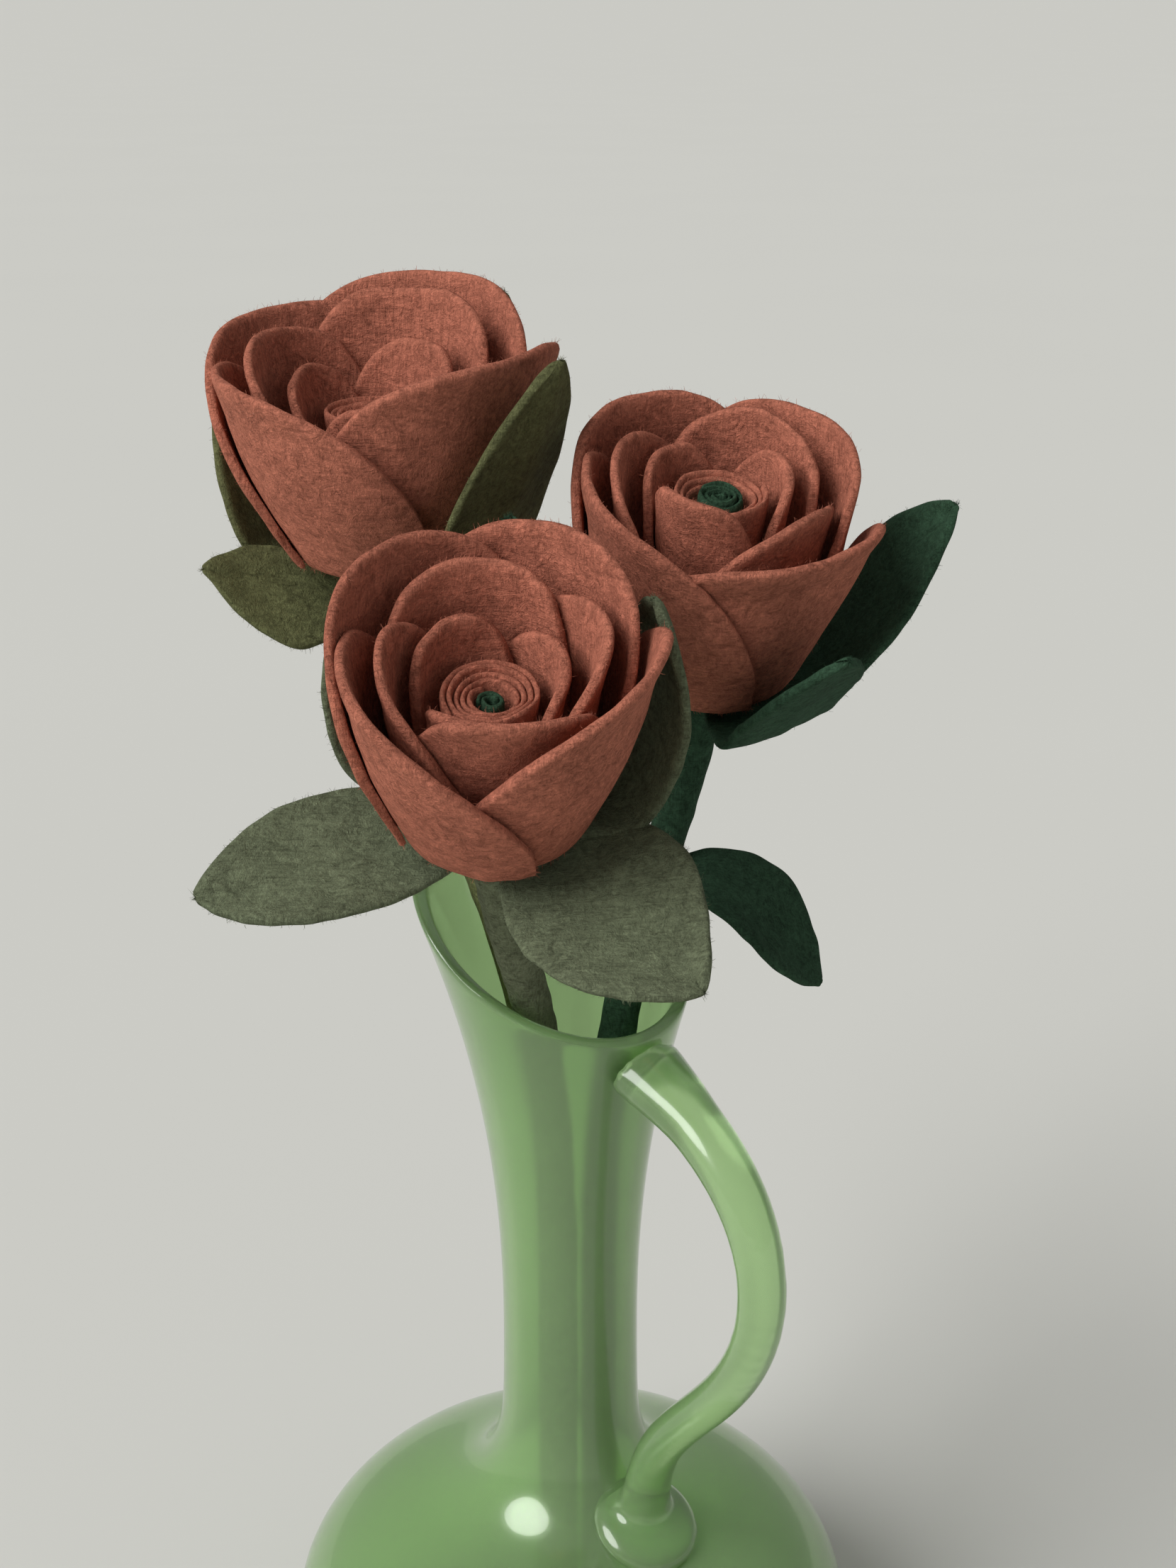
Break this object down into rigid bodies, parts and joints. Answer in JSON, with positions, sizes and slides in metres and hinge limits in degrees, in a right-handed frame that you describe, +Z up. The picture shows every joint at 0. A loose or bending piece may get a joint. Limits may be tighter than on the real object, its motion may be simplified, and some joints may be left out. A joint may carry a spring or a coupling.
{
  "type": "flower vase",
  "caption": "Blown-glass jug vase with a round bulb, a narrow neck, a slanting flared mouth and a loop handle, holding a bunch of rolled felt roses on wrapped wire stems.",
  "frame": {"origin": "centre of the vase's foot, on the surface that it stands on", "axes": "+Z up along the neck, +X to the right and -Y towards the front, with the handle at the front right"},
  "size_m": [0.1538, 0.1407, 0.3361],
  "materials": {
    "milky_green_glass": "glossy, milky green and translucent",
    "stem_wire": "dull",
    "petal_felt": "wool felt, dusty terracotta",
    "sage_felt": "wool felt, grey green",
    "taupe_felt": "wool felt, grey brown",
    "forest_felt": "wool felt, dark green",
    "olive_felt": "wool felt, olive green"
  },
  "bodies": {
    "vase": {"vase_body": "milky_green_glass", "vase_handle": "milky_green_glass"},
    "bunch": {"back_rose_stem_wire": "stem_wire", "back_rose_stem_wrap": "olive_felt", "front_rose_stem_wire": "stem_wire", "front_rose_stem_wrap": "taupe_felt", "right_rose_side_leaf": "forest_felt", "right_rose_stem_wire": "stem_wire", "right_rose_stem_wrap": "forest_felt"},
    "front_head": {"front_rose_bud": "forest_felt", "front_rose_calyx": "sage_felt", "front_rose_core": "petal_felt", "front_rose_inner_petal_1": "petal_felt", "front_rose_inner_petal_2": "petal_felt", "front_rose_inner_petal_3": "petal_felt", "front_rose_leaf_back_left": "sage_felt", "front_rose_leaf_back_right": "sage_felt", "front_rose_leaf_left": "sage_felt", "front_rose_leaf_right": "sage_felt", "front_rose_middle_petal_1": "petal_felt", "front_rose_middle_petal_2": "petal_felt", "front_rose_middle_petal_3": "petal_felt", "front_rose_middle_petal_4": "petal_felt", "front_rose_outer_petal_1": "petal_felt", "front_rose_outer_petal_2": "petal_felt", "front_rose_outer_petal_3": "petal_felt", "front_rose_outer_petal_4": "petal_felt"},
    "right_head": {"right_rose_bud": "forest_felt", "right_rose_calyx": "forest_felt", "right_rose_core": "petal_felt", "right_rose_inner_petal_1": "petal_felt", "right_rose_inner_petal_2": "petal_felt", "right_rose_inner_petal_3": "petal_felt", "right_rose_leaf_front": "forest_felt", "right_rose_leaf_left": "forest_felt", "right_rose_leaf_right": "forest_felt", "right_rose_middle_petal_1": "petal_felt", "right_rose_middle_petal_2": "petal_felt", "right_rose_middle_petal_3": "petal_felt", "right_rose_outer_petal_1": "petal_felt", "right_rose_outer_petal_2": "petal_felt", "right_rose_outer_petal_3": "petal_felt", "right_rose_outer_petal_4": "petal_felt"},
    "back_head": {"back_rose_bud": "olive_felt", "back_rose_calyx": "olive_felt", "back_rose_core": "petal_felt", "back_rose_inner_petal_1": "petal_felt", "back_rose_inner_petal_2": "petal_felt", "back_rose_inner_petal_3": "petal_felt", "back_rose_leaf_back": "olive_felt", "back_rose_leaf_front": "olive_felt", "back_rose_leaf_left": "olive_felt", "back_rose_leaf_right": "olive_felt", "back_rose_middle_petal_1": "petal_felt", "back_rose_middle_petal_2": "petal_felt", "back_rose_middle_petal_3": "petal_felt", "back_rose_outer_petal_1": "petal_felt", "back_rose_outer_petal_2": "petal_felt", "back_rose_outer_petal_3": "petal_felt", "back_rose_outer_petal_4": "petal_felt"}
  },
  "joints": [
    {"name": "bunch_lift", "type": "slide", "parent": "vase", "child": "bunch", "axis": [0, 0, 1], "range_m": [0, 0.23]},
    {"name": "front_nod", "type": "hinge", "parent": "bunch", "child": "front_head", "pos_m": [-0.01422, -0.0358, 0.24146], "axis": [1, 0, 0], "range_deg": [0, 15]},
    {"name": "right_nod", "type": "hinge", "parent": "bunch", "child": "right_head", "pos_m": [0.02818, 0.01332, 0.25522], "axis": [0, 1, 0], "range_deg": [0, 15]},
    {"name": "back_nod", "type": "hinge", "parent": "bunch", "child": "back_head", "pos_m": [-0.0392, 0.02323, 0.27433], "axis": [-0.7071, -0.7071, 0], "range_deg": [0, 15]}
  ]
}
